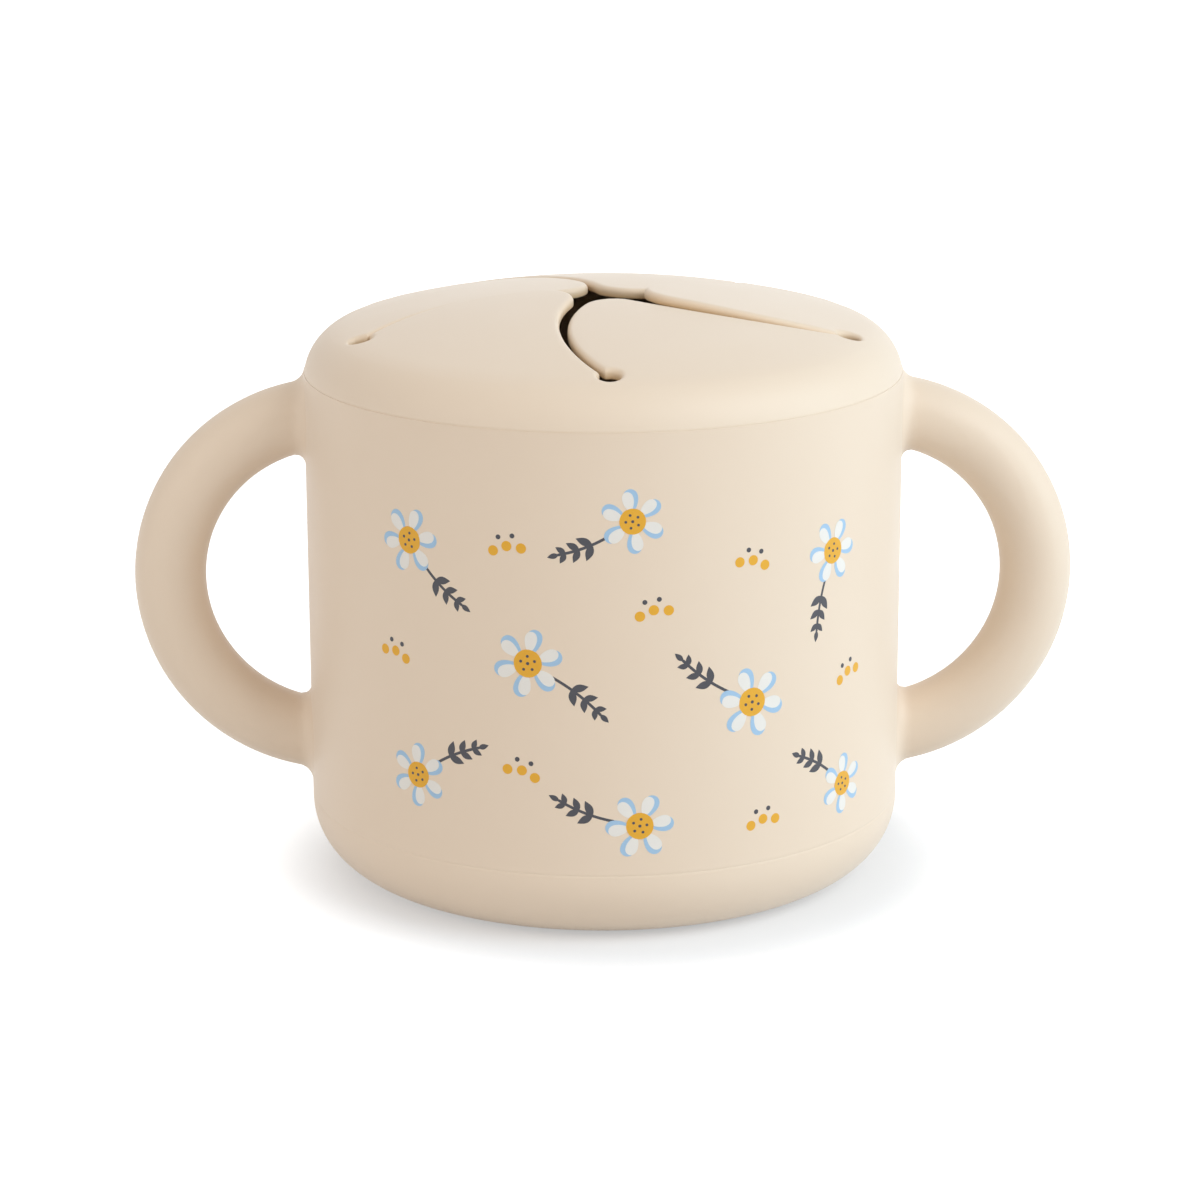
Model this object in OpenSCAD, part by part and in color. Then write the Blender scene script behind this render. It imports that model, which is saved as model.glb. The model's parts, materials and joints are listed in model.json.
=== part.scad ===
// Toddler snack cup: a soft moulded cup with two loop handles, and a soft
// pull-off lid whose dome is slit into five spiral flaps that a small hand
// pushes through. Millimetres. The cup stands on z = 0 with its axis on Z;
// the printed front faces -Y and the handles lie along X.

/* [Cup] */
// Outside diameter of the cup
cup_d = 90; // [74:1:110]
// Height of the joint line between cup and lid
seam_h = 76.7; // [62:0.1:95]
// Thickness of the cup's side wall
wall = 3.5; // [2.8:0.1:4.5]
// Thickness of the floor inside the foot recess
floor_t = 3.2; // [2:0.1:5]
// Radius of the rounded bottom edge
foot_r = 10.5; // [6:0.5:14]
// Radius of the rounded corner inside, at the floor
inside_r = 7.5; // [3:0.5:9]
// Diameter of the shallow recess under the foot
recess_d = 58; // [40:1:64]
// Depth of that recess
recess_h = 0.8; // [0.4:0.1:2]

/* [Rim] */
// Thickness of the tongue that stands up from the rim
tongue_t = 1.5; // [1:0.1:1.8]
// Height of the tongue above the joint line
tongue_h = 2.8; // [1.5:0.1:3.6]
// Clearance between the tongue and the lid's channel, and round the plug
rim_gap = 0.15; // [0.05:0.05:0.3]

/* [Handles] */
// Radius of the handle's round section
handle_r = 5.4; // [4:0.1:6.5]
// How far the middle of the loop's section stands out from the wall
handle_reach = 21; // [16:0.5:28]
// Distance from the joint line down to the middle of the upper root
handle_drop = 7.2; // [6.8:0.1:14]
// Height of the middle of the lower root above the table
handle_foot = 19.7; // [14:0.1:26]
// Radius of the fillet where a handle runs into the wall
root_fillet = 3; // [2:0.1:4]
// How far that fillet spreads past the handle's section
flare = 1.4; // [0.5:0.1:1.5]

/* [Lid] */
// Thickness of the lid's dome and flaps
lid_t = 1.6; // [1.3:0.1:2]
// Radius of the rounded shoulder
shoulder_r = 8; // [6.5:0.5:10]
// How far below the joint line the shoulder starts to turn
shoulder_drop = 1.2; // [0:0.1:2]
// Radius of the domed top
dome_r = 150; // [120:5:220]
// Thickness of the plug that reaches down inside the cup
plug_t = 1.75; // [1.2:0.05:2.2]
// How far the plug reaches below the joint line
plug_h = 4.7; // [3:0.1:8]

/* [Flaps] */
// Width of the slits between the flaps
slit_w = 0.9; // [0.7:0.1:1.4]
// Angle by which a slit leaves its own chord, which sets how far it bows
slit_sweep = 35; // [24:1:38]
// Radius of the small round hole that ends each slit
slit_end_r = 1.4; // [1:0.1:1.8]
// Distance from the plug's inside to the edge of those holes
slit_margin = 0.2; // [0.1:0.1:2]
// Radius of the rounded flap tips
tip_r = 4.5; // [2.5:0.1:6]
// Length of the solid corner beside the sharp end of each flap's root
corner_l = 8; // [6:0.5:12]
// Clearance between a flap's round root and its seat in the lid
root_gap = 0.25; // [0.15:0.05:0.4]
// How far each flap stands lifted at rest: front right, then round to front left
rest_lift = [-1.8, 1.8, -2.8, -0.5, 0.8]; // [-4:0.1:6]

/* [Hidden] */
$fn = 144;
FLAPS = 5;
STEP = 360 / FLAPS;
FRONT = -90;        // direction of the first slit's end, seen from above
EPS = 0.01;
BIG = 400;

cup_r = cup_d / 2;
bore_r = cup_r - wall;
tongue_r = bore_r + tongue_t;

// The shoulder and the dome are two arcs that meet tangentially.
shoulder_x = cup_r - shoulder_r;
shoulder_z = seam_h - shoulder_drop;
dome_z = shoulder_z - sqrt(pow(dome_r - shoulder_r, 2) - pow(shoulder_x, 2));
function meet_r(inset) = shoulder_x * (dome_r - inset) / (dome_r - shoulder_r);
function skin_z(r, inset) = dome_z + sqrt(pow(dome_r - inset, 2) - pow(r, 2));

plug_out = bore_r - rim_gap;
plug_in = plug_out - plug_t;

// Each handle is an arc through its two roots and the point furthest out.
root_top = seam_h - handle_drop;
loop_z = (root_top + handle_foot) / 2;
loop_half = (root_top - handle_foot) / 2;
loop_r = (pow(loop_half, 2) + pow(handle_reach, 2)) / (2 * handle_reach);
loop_x = cup_r + handle_reach - loop_r;
root_tilt = acos((cup_r - loop_x) / loop_r);   // where the arc meets the wall
ROOT_IN = 8;                                   // how far it runs on inside, in degrees
// The fillet's lip lies under the wall's curve all round the handle.
flare_r = handle_r + flare;
FLARE_DIP = 0.25;
flare_lip = root_fillet - sqrt(pow(root_fillet, 2) - pow(root_fillet - flare, 2));
flare_sink = flare_lip + cup_r - sqrt(pow(cup_r, 2) - pow(flare_r, 2));

// Each slit is an arc from the axis to its end hole, bowed clockwise.
slit_end = plug_in - slit_margin - slit_end_r;
slit_r = slit_end / (2 * sin(slit_sweep));
function slit_at(k) = FRONT + k * STEP;
function slit_mid(k) =
    slit_r * [cos(slit_at(k) + 90 - slit_sweep), sin(slit_at(k) + 90 - slit_sweep)];

// A flap turns on the line between the end holes of its two slits.
hinge_d = slit_end * cos(STEP / 2);
hinge_half = slit_end * sin(STEP / 2);
hinge_sag = skin_z(hinge_d, lid_t / 2) - skin_z(slit_end, lid_t / 2);
hinge_z = skin_z(hinge_d, lid_t / 2) - hinge_sag / 2;
ROOT_PROUD = 0.1;
root_r = lid_t / 2 + hinge_sag / 2 + ROOT_PROUD;   // the round root holds the whole skin
function flap_at(k) = slit_at(k) + STEP / 2;

// The point where two circles cross, on the left of the line between them.
function crossing(a, ra, b, rb) =
    let (d = norm(b - a),
         u = (b - a) / d,
         along = (d * d + ra * ra - rb * rb) / (2 * d),
         up = sqrt(ra * ra - along * along))
    a + along * u + up * [-u[1], u[0]];

// The tip's circle touches the flap's two curved edges from inside.
edge_out = slit_r - slit_w / 2;    // the flap lies inside its first slit's arc
edge_in = slit_r + slit_w / 2;     // and outside its second slit's arc
tip_mid = crossing(slit_mid(0), edge_out - tip_r, slit_mid(1), edge_in + tip_r);
tip_end = crossing(slit_mid(0), edge_out, slit_mid(1), edge_in);
TIP_ROUND = 1.05;
function away(p, from) = (p - from) / norm(p - from);

SILICONE = [0.925, 0.850, 0.735];
SILICONE_LID = [0.930, 0.858, 0.745];

// ---------- shared profiles ----------

// Half section of the whole closed cup, moved in by an inset.
module outline(inset = 0) {
    r = cup_r - inset;
    foot = foot_r - min(inset, foot_r - EPS);
    translate([0, foot_r]) square([r, shoulder_z - foot_r]);
    translate([0, foot_r - foot]) square([cup_r - foot_r, foot + EPS]);
    translate([cup_r - foot_r, foot_r]) circle(foot);
    intersection() {
        translate([0, dome_z]) circle(dome_r - inset);
        translate([0, foot_r]) square([meet_r(inset), BIG]);
    }
    intersection() {
        translate([shoulder_x, shoulder_z]) circle(shoulder_r - inset);
        translate([meet_r(inset), foot_r]) square([cup_r, BIG]);
    }
}

module above(z) {
    translate([0, z]) square([BIG, BIG]);
}

// ---------- cup ----------

module cavity() {
    low = floor_t + recess_h;
    translate([0, low + inside_r]) square([bore_r, BIG]);
    translate([0, low]) square([bore_r - inside_r, inside_r + EPS]);
    translate([bore_r - inside_r, low + inside_r]) circle(inside_r);
}

module cup_section() {
    difference() {
        union() {
            difference() {
                outline();
                above(seam_h);
            }
            translate([0, seam_h - EPS]) square([tongue_r, tongue_h + EPS]);
        }
        cavity();
        translate([0, -EPS]) square([recess_d / 2, recess_h + EPS]);
    }
}

// One fillet, turned about the handle's own line where it enters the wall.
// Its far end dips under the handle's curved surface.
module root_flare() {
    rotate_extrude() difference() {
        square([flare_r, root_fillet]);
        translate([handle_r + root_fillet - FLARE_DIP, root_fillet]) circle(root_fillet);
    }
}

module handle() {
    sweep = 2 * (root_tilt + ROOT_IN);
    rotate([90, 0, 0]) translate([loop_x, loop_z, 0])
        rotate([0, 0, -sweep / 2]) rotate_extrude(angle = sweep)
            translate([loop_r, 0]) circle(handle_r);
    for (side = [-1, 1])
        translate([cup_r - flare_sink, 0, loop_z + side * loop_half])
            rotate([0, 90 + side * (90 - root_tilt), 0]) root_flare();
}

module cup() color(SILICONE) difference() {
    union() {
        rotate_extrude() cup_section();
        for (turn = [0, 180]) rotate([0, 0, turn]) handle();
    }
    rotate_extrude() cavity();
}

// ---------- lid ----------

module channel() {
    translate([plug_out, seam_h - BIG])
        square([tongue_r + rim_gap - plug_out, BIG + tongue_h + rim_gap]);
}

module lid_section() {
    intersection() {
        difference() {
            outline();
            intersection() {
                outline(lid_t);
                square([plug_in, BIG]);
            }
            channel();
        }
        above(seam_h);
    }
    // the plug hangs down inside the cup, with a rounded lower edge
    translate([plug_in, seam_h - plug_h + plug_t / 2])
        square([plug_t, plug_h + tongue_h + 2 * rim_gap - plug_t / 2]);
    translate([plug_in + plug_t / 2, seam_h - plug_h + plug_t / 2]) circle(plug_t / 2);
}

module skin() {
    rotate_extrude() intersection() {
        difference() {
            outline();
            outline(lid_t);
        }
        translate([0, shoulder_z]) square([cup_r - shoulder_r / 2, BIG]);
    }
}

// Everything on the axis side of a flap's hinge line, up to its square corner.
module past_hinge(gap = 0) {
    rotate(flap_at(0)) translate([-BIG, -hinge_half])
        square([BIG + hinge_d, 2 * hinge_half - corner_l + gap]);
}

// Plan of one flap: inside its first slit's arc and outside its second's.
module flap_plan() {
    difference() {
        intersection() {
            translate(slit_mid(0)) circle(edge_out);
            past_hinge();
        }
        translate(slit_mid(1)) circle(edge_in);
        tip_waste();
    }
}

// Plan of the whole opening in the lid: the five flaps with their slits.
module opening_plan() {
    for (k = [0 : FLAPS - 1]) rotate(k * STEP) intersection() {
        translate(slit_mid(0)) circle(edge_in);
        past_hinge(root_gap);
    }
}

// What is trimmed off the sharp tip to leave a round end. The round is a
// little larger than the circle that touches both edges, so that it crosses them.
module tip_waste() {
    n0 = away(tip_mid, slit_mid(0));
    n1 = -away(tip_mid, slit_mid(1));
    difference() {
        polygon([tip_mid + tip_r * n0, tip_mid + 2 * tip_r * n0,
                 tip_end + 2 * (tip_end - tip_mid),
                 tip_mid + 2 * tip_r * n1, tip_mid + tip_r * n1]);
        translate(tip_mid) circle(TIP_ROUND * tip_r);
    }
}

// The round bar about which a flap turns, with its ends set back from the
// end hole and from the square corner.
module root_bar() {
    set_back = slit_end_r + root_gap;
    rotate([0, 0, flap_at(0)]) translate([hinge_d, set_back - hinge_half, hinge_z])
        rotate([-90, 0, 0])
            cylinder(r = root_r, h = 2 * hinge_half - corner_l - set_back);
}

// The seat for that bar, which starts in the middle of the end hole.
module root_seat() {
    rotate([0, 0, flap_at(0)]) translate([hinge_d, -hinge_half, hinge_z])
        rotate([-90, 0, 0])
            cylinder(r = root_r + root_gap, h = 2 * hinge_half - corner_l + root_gap);
}

module end_holes() {
    for (k = [0 : FLAPS - 1])
        rotate([0, 0, slit_at(k)]) translate([slit_end, 0, seam_h])
            cylinder(r = slit_end_r, h = BIG);
}

module lid_ring() color(SILICONE_LID) difference() {
    rotate_extrude() lid_section();
    translate([0, 0, seam_h]) linear_extrude(BIG) opening_plan();
    for (k = [0 : FLAPS - 1]) rotate([0, 0, k * STEP]) root_seat();
    end_holes();
}

module flap(k) color(SILICONE_LID) rotate([0, 0, k * STEP]) on_hinge(rest_lift[k])
    difference() {
        intersection() {
            skin();
            union() {
                translate([0, 0, seam_h]) linear_extrude(BIG) flap_plan();
                root_bar();
            }
        }
        end_holes();
    }

// Turns a flap about its own hinge line; a positive angle lifts the tip.
module on_hinge(angle) {
    rotate([0, 0, flap_at(0)]) translate([hinge_d, 0, hinge_z]) rotate([0, angle, 0])
        translate([-hinge_d, 0, -hinge_z]) rotate([0, 0, -flap_at(0)]) children();
}

cup();
lid_ring();
flap(0);  // flap_front_right
flap(1);  // flap_back_right
flap(2);  // flap_back
flap(3);  // flap_back_left
flap(4);  // flap_front_left
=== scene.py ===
# %% [markdown]
# # A toddler's snack cup in soft silicone
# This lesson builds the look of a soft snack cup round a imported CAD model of
# it. The real object is two mouldings: a cup with a loop handle on each side,
# and a domed lid that is slit into five curved flaps, so that a small hand
# can reach in and the snacks stay inside.
#
# CAD owns the sizes and the joints. Blender adds what a plain solid lacks:
# handles that flow into the wall, flaps that bend as one skin with the lid,
# rounded cut edges, a small print, and the matte finish of silicone.

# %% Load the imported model
import json
import math

import bpy
import numpy as np
from mathutils import Matrix, Vector
from mathutils.geometry import delaunay_2d_cdt


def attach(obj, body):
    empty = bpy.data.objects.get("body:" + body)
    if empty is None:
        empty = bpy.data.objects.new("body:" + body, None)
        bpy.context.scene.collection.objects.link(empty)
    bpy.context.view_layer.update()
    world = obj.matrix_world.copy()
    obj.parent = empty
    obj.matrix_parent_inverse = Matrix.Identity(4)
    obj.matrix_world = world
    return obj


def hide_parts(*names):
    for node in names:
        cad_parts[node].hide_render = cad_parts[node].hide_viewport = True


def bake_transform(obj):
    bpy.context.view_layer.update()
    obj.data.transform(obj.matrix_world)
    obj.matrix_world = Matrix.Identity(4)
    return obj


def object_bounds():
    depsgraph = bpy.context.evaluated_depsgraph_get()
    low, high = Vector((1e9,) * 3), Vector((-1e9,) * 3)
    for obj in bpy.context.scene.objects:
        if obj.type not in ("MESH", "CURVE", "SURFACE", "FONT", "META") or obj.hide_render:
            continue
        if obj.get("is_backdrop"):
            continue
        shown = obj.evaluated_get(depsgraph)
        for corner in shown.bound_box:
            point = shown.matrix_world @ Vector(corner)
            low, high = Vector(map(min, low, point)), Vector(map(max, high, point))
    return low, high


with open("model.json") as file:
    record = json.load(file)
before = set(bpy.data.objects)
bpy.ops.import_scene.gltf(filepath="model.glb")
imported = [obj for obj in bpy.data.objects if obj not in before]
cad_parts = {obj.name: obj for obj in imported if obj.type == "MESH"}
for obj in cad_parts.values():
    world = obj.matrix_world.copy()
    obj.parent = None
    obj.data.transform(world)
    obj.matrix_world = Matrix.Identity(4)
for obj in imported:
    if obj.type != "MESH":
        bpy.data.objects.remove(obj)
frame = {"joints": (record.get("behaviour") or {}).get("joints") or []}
cad_box = [list(corner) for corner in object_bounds()]
print("CAD box in mm:", [[round(1000 * v, 2) for v in corner] for corner in cad_box])

# %% [markdown]
# ## The camera
# The picture was taken with a long lens from half a metre away, a little
# above the lid. A camera could be tracked to an empty, but here each angle is
# known from fitting the cup's outline, so the rotation is written directly:
# a turn round the cup, a pitch down, and a very small roll.

# %% Camera
IMAGE = 1200
CAMERA_PLACE = (-0.01319, -0.55984, 0.1954)
CAMERA_TURN = math.radians(-1.35 + 0.062)
CAMERA_PITCH = math.radians(15.49)
CAMERA_ROLL = math.radians(-0.18)
FOCAL_PIXELS = 3797.3

lens = bpy.data.cameras.new("camera")
lens.sensor_width = 36
lens.lens = FOCAL_PIXELS / IMAGE * lens.sensor_width
camera = bpy.data.objects.new("camera", lens)
bpy.context.scene.collection.objects.link(camera)
camera.matrix_world = (Matrix.Translation(CAMERA_PLACE)
                       @ Matrix.Rotation(CAMERA_TURN, 4, "Z")
                       @ Matrix.Rotation(math.pi / 2 - CAMERA_PITCH, 4, "X")
                       @ Matrix.Rotation(CAMERA_ROLL, 4, "Z"))
bpy.context.scene.camera = camera
print("lens:", round(lens.lens, 1), "mm")

# %% [markdown]
# ## Silicone
# Silicone is neither shiny nor dusty: it has a broad, weak gloss, a faint
# velvet at grazing angles, and a very fine matte grain from the mould. The
# pigment is mixed through the whole wall, so the colour drifts by a hair
# only. On the lid, the faces of the slits and the rounded cut edges are
# painted a deeper, warmer tan. This is painted shade, which stands in for
# the warm light that bounces inside the narrow slits. A Principled shader
# does this with noise on its colour, roughness and bump, and with an
# attribute of the mesh, which says how much of this painted shade each point
# gets. What is the same all over is set on the shader's own sockets.

# %% Helpers for materials
def new_material(name):
    material = bpy.data.materials.new(name)
    material.use_nodes = True
    return material, material.node_tree.nodes, material.node_tree.links


def linked_noise(nodes, links, scale, detail, coordinates):
    noise = nodes.new("ShaderNodeTexNoise")
    noise.inputs["Scale"].default_value = scale
    noise.inputs["Detail"].default_value = detail
    links.new(coordinates.outputs["Object"], noise.inputs["Vector"])
    return noise


def two_shades(nodes, links, colour, deeper, scale, coordinates):
    """A colour that drifts between two close shades."""
    drift = linked_noise(nodes, links, scale, 2.0, coordinates)
    mix = nodes.new("ShaderNodeMix")
    mix.data_type = "RGBA"
    mix.inputs["A"].default_value = (*colour, 1)
    mix.inputs["B"].default_value = (*deeper, 1)
    links.new(drift.outputs["Fac"], mix.inputs["Factor"])
    return mix.outputs["Result"]


# %% The silicone material
SILICONE_IOR = 1.41
# the attribute that says where the lid's slit faces and cut edges get painted shade
SLIT_SHADE_ATTRIBUTE = "painted_slit_shade"


def silicone(name, colour, deeper, cut=None):
    material, nodes, links = new_material(name)
    shader = nodes["Principled BSDF"]
    shader.inputs["IOR"].default_value = SILICONE_IOR
    shader.inputs["Specular IOR Level"].default_value = 0.5
    shader.inputs["Sheen Weight"].default_value = 0.22
    shader.inputs["Sheen Roughness"].default_value = 0.45
    place = nodes.new("ShaderNodeTexCoord")

    # pigment: two close shades, drifting over a few centimetres
    pigment = two_shades(nodes, links, colour, deeper, 38.0, place)

    # painted shade: the mesh says where the slit faces and cut edges get a deeper, warmer tan
    if cut:
        where = nodes.new("ShaderNodeAttribute")
        where.attribute_name = SLIT_SHADE_ATTRIBUTE
        painted_shade_mix = nodes.new("ShaderNodeMix")
        painted_shade_mix.data_type = "RGBA"
        painted_shade_mix.inputs["B"].default_value = (*cut, 1)
        links.new(where.outputs["Fac"], painted_shade_mix.inputs["Factor"])
        links.new(pigment, painted_shade_mix.inputs["A"])
        pigment = painted_shade_mix.outputs["Result"]
    links.new(pigment, shader.inputs["Base Color"])

    # handling polishes some patches a little
    patches = linked_noise(nodes, links, 90.0, 3.0, place)
    gloss = nodes.new("ShaderNodeMapRange")
    gloss.inputs["To Min"].default_value = 0.42
    gloss.inputs["To Max"].default_value = 0.56
    links.new(patches.outputs["Fac"], gloss.inputs["Value"])
    links.new(gloss.outputs["Result"], shader.inputs["Roughness"])

    # mould grain: fine and shallow
    grain = linked_noise(nodes, links, 5200.0, 2.0, place)
    bump = nodes.new("ShaderNodeBump")
    bump.inputs["Strength"].default_value = 0.12
    bump.inputs["Distance"].default_value = 0.00005
    links.new(grain.outputs["Fac"], bump.inputs["Height"])
    links.new(bump.outputs["Normal"], shader.inputs["Normal"])
    return material


CUP_SILICONE = silicone("cup_silicone", (0.808, 0.674, 0.538), (0.794, 0.656, 0.516))
# the lid's cut colour is painted shade: the warm tan of its slit faces and cut edges
LID_SILICONE = silicone("lid_silicone", (0.811, 0.683, 0.546), (0.797, 0.665, 0.526),
                        cut=(0.800, 0.570, 0.325))
print("materials:", CUP_SILICONE.name, LID_SILICONE.name)

# %% [markdown]
# ## From numbers to a mesh
# All shapes below are worked out in millimetres, as a mould maker would, and
# turned into metres only here. Corners sharper than `crease` degrees stay
# crisp; everything else is shaded smoothly.

# %% Making a piece
def make_piece(name, points, faces, material, crease=40):
    mesh = bpy.data.meshes.new(name)
    mesh.from_pydata((np.asarray(points) / 1000).tolist(), [],
                     [list(map(int, face)) for face in faces])
    mesh.materials.append(material)
    mesh.shade_smooth()
    mesh.set_sharp_from_angle(angle=math.radians(crease))
    piece = bpy.data.objects.new(name, mesh)
    bpy.context.scene.collection.objects.link(piece)
    print(f"{name}: {len(mesh.vertices)} points, {len(mesh.polygons)} faces")
    return piece

# %% [markdown]
# ## The cup
# On the real cup the handles and the wall are one moulding, and a soft
# fillet joins them. A boolean union would leave a hard crease there, and a
# bevel on that crease breaks up where the surfaces meet at a slant. So the
# cup is written as a distance field: a function that is negative inside the
# silicone and positive outside. Fields can be joined and cut with a chosen
# radius, which gives every fillet and rounded rim for free.

# %% Rounded cuts and joins of fields
def both(a, b, radius):
    """What lies in both fields, its edge rounded to the radius."""
    u, v = np.maximum(a + radius, 0), np.maximum(b + radius, 0)
    return np.minimum(-radius, np.maximum(a, b)) + np.hypot(u, v)


def either(a, b, radius):
    """What lies in one field or the other, with a fillet of the radius between."""
    return -both(-a, -b, radius)


print("a corner rounded by 1 mm is cut back by", round(float(both(0.0, 0.0, 1.0)), 2), "mm")

# %% The cup as a field
# all in mm; the names that end in _ROUND and _FILLET are radii
CUP_R, SEAM = 45.0, 76.7
BORE_R, FLOOR = 41.5, 4.0
FOOT_ROUND, INSIDE_ROUND = 10.5, 7.5
TONGUE_R, TONGUE_TOP, TONGUE_FOOT = 43.0, 79.5, 44.6
RECESS_R, RECESS_TOP = 29.0, 0.8
LOOP_X, LOOP_Z, LOOP_R, HANDLE_R = 40.74, 44.6, 25.26, 5.4
HANDLE_FILLET, SEAM_ROUND, RIM_ROUND = 2.0, 0.03, 0.5
TONGUE_ROUND, TONGUE_FILLET = 0.5, 0.2
RECESS_ROUND, RECESS_RIM_ROUND = 0.4, 0.35
# the faint groove that the mould's parting leaves low on the wall
PARTING_Z, PARTING_DEPTH, PARTING_WIDTH = 11.4, 0.05, 0.16


def cup_field(x, y, z):
    r = np.hypot(x, y)
    shell = both(r - CUP_R, -z, FOOT_ROUND)
    groove = PARTING_DEPTH * np.exp(-((z - PARTING_Z) / PARTING_WIDTH) ** 2)
    shell = shell + groove * (r > BORE_R)
    loop = np.hypot(np.hypot(np.abs(x) - LOOP_X, z - LOOP_Z) - LOOP_R, y) - HANDLE_R
    body = both(either(shell, loop, HANDLE_FILLET), z - SEAM, SEAM_ROUND)
    # the tongue starts well below the seam, so that it grows out of the wall
    tongue = both(r - TONGUE_R, z - TONGUE_TOP, TONGUE_ROUND)
    body = either(body, np.maximum(tongue, TONGUE_FOOT - z), TONGUE_FILLET)
    body = both(body, -both(r - BORE_R, FLOOR - z, INSIDE_ROUND), RIM_ROUND)
    recess = both(r - RECESS_R, z - RECESS_TOP, RECESS_ROUND)
    return both(body, -recess, RECESS_RIM_ROUND)


for where, x in (("inside the wall", 43.0), ("in the bore", 0.0)):
    print(where + ":", cup_field(np.array(x), np.array(0.0), np.array(40.0)).round(2))

# %% [markdown]
# ## A net over the field
# To see a field it has to become a mesh. A remesh modifier works on cubes
# that ignore the form. Here the cells are slices of rings round the cup's
# own axis, so the quads run round and up the wall as a modeller would draw
# them. Each cell that the surface passes through gets one point, four
# neighbouring points make a face, and each point is then walked down the
# field's slope until it lies exactly on the surface.

# %% Cell lines, closer together where the form is fine
def lines(start, *runs):
    """Positions from start, in runs of (end, step)."""
    out = [start]
    for end, step in runs:
        count = max(1, round((end - out[-1]) / step))
        out += list(np.linspace(out[-1], end, count + 1)[1:])
    return np.array(out)


print("two runs of lines:", lines(0.0, (1.0, 0.5), (4.0, 1.0)))

# %% Walking points onto a field
def onto(points, field, rounds=5, probe=0.01, least_slope=0.05):
    """The points moved along the field's slope until the field is zero there."""
    for _ in range(rounds):
        value = field(*points.T)
        slope = np.stack([(field(*(points + step).T) - field(*(points - step).T)) / (2 * probe)
                          for step in probe * np.eye(3)], axis=1)
        steep = np.maximum((slope ** 2).sum(1), least_slope)
        points = points - slope * (value / steep)[:, None]
    return points


inside_wall = np.array([[0.0, -44.0, 40.0]])
print("a point inside the wall walks out to", onto(inside_wall, cup_field).round(2))

# %% The net itself
def net(turn, radius, height, field):
    """Points and quads of the field's surface, on cells that close round the axis."""
    t, r, h = np.meshgrid(turn, radius, height, indexing="ij")
    place = np.stack([r * np.cos(t), r * np.sin(t), h], axis=-1)
    value = field(place[..., 0], place[..., 1], place[..., 2])
    inside = value < 0
    n, m, k = inside.shape

    # a cell is crossed when its eight corners disagree
    corners = [(a, b, c) for a in (0, 1) for b in (0, 1) for c in (0, 1)]
    count = sum(np.roll(inside, -a, 0)[:, b:m - 1 + b, c:k - 1 + c].astype(int)
                for a, b, c in corners)
    cells = np.argwhere((count > 0) & (count < 8))
    number = -np.ones(count.shape, int)
    number[tuple(cells.T)] = np.arange(len(cells))

    # start each point in the middle of where the surface cuts the cell's edges
    total, hits = np.zeros((len(cells), 3)), np.zeros(len(cells))
    for low in corners:
        for axis in range(3):
            if low[axis]:
                continue
            high = tuple(1 if i == axis else v for i, v in enumerate(low))
            a, b = cells + low, cells + high
            a[:, 0] %= n
            b[:, 0] %= n
            fa, fb = value[tuple(a.T)], value[tuple(b.T)]
            cut = (fa < 0) != (fb < 0)
            share = np.where(cut, fa / np.where(cut, fa - fb, 1), 0)[:, None]
            point = place[tuple(a.T)] * (1 - share) + place[tuple(b.T)] * share
            total += point * cut[:, None]
            hits += cut
    points = onto(total / hits[:, None], field)

    # one quad for each grid edge that the surface cuts
    faces = []
    for axis in range(3):
        if axis == 0:
            after = np.roll(inside, -1, 0)
        else:
            after = np.concatenate([inside.take(range(1, inside.shape[axis]), axis),
                                    inside.take([-1], axis)], axis)
        edge = np.argwhere(inside != after)
        ok = (edge[:, 1] > 0) | (axis == 1)
        ok &= (edge[:, 2] > 0) | (axis == 2)
        ok &= (edge[:, 1] < m - 1) & (edge[:, 2] < k - 1)
        edge = edge[ok]
        u, v = [(1, 2), (0, 2), (0, 1)][axis]
        ring = []
        for du, dv in ((-1, -1), (0, -1), (0, 0), (-1, 0)):
            cell = edge.copy()
            cell[:, u] += du
            cell[:, v] += dv
            cell[:, 0] %= n
            ring.append(number[tuple(cell.T)])
        quads = np.stack(ring, axis=1)
        flip = inside[tuple(edge.T)] == (axis != 1)
        quads[flip] = quads[flip][:, ::-1]
        faces.append(quads)
    return points, np.concatenate(faces)


# %% The cup's mesh
# closer lines at the handles, the recess, the wall's skin, the parting line and the seam
turn = np.radians(lines(-9.6, (9.6, 0.8), (170.4, 1.5), (189.6, 0.8), (350.4, 1.5))[:-1])
radius = lines(1.0, (27.5, 2.2), (30.5, 0.3), (40.5, 1.0), (44.8, 0.45), (45.08, 0.04),
               (46.2, 0.5), (73.0, 0.9))
height = lines(-0.6, (1.8, 0.3), (10.8, 0.9), (12.0, 0.1), (73.5, 1.15), (76.5, 0.6),
               (76.8, 0.04), (80.4, 0.33))
cup_points, cup_quads = net(turn, radius, height, cup_field)

# the net leaves a small round hole on the axis, above and below the floor
AXIS_HOLE, SLACK = 2.6, 0.2
cup_faces = cup_quads.tolist()
for level in (RECESS_TOP, FLOOR):
    from_axis = np.hypot(*cup_points[:, :2].T)
    rim = np.flatnonzero((from_axis < AXIS_HOLE) & (abs(cup_points[:, 2] - level) < SLACK))
    rim = rim[from_axis[rim] < from_axis[rim].min() + SLACK]
    rim = rim[np.argsort(np.arctan2(cup_points[rim, 1], cup_points[rim, 0]))]
    centre = len(cup_points)
    cup_points = np.vstack([cup_points, [0, 0, level]])
    pairs = list(zip(rim, np.roll(rim, -1)))
    cup_faces += [(a, b, centre) if level == FLOOR else (b, a, centre) for a, b in pairs]

cup = make_piece("cup_body", cup_points, cup_faces, CUP_SILICONE, crease=50)
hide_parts("cup")
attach(cup, "cup")

# %% [markdown]
# ## The lid's skin
# The lid is a shallow dome that turns over a rounded shoulder into a short
# skirt. Two formulas give the height of its outer and inner face at any
# distance from the axis. Everything that is cut in the lid is then drawn
# flat, as a plan, and lifted onto this skin.

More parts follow.
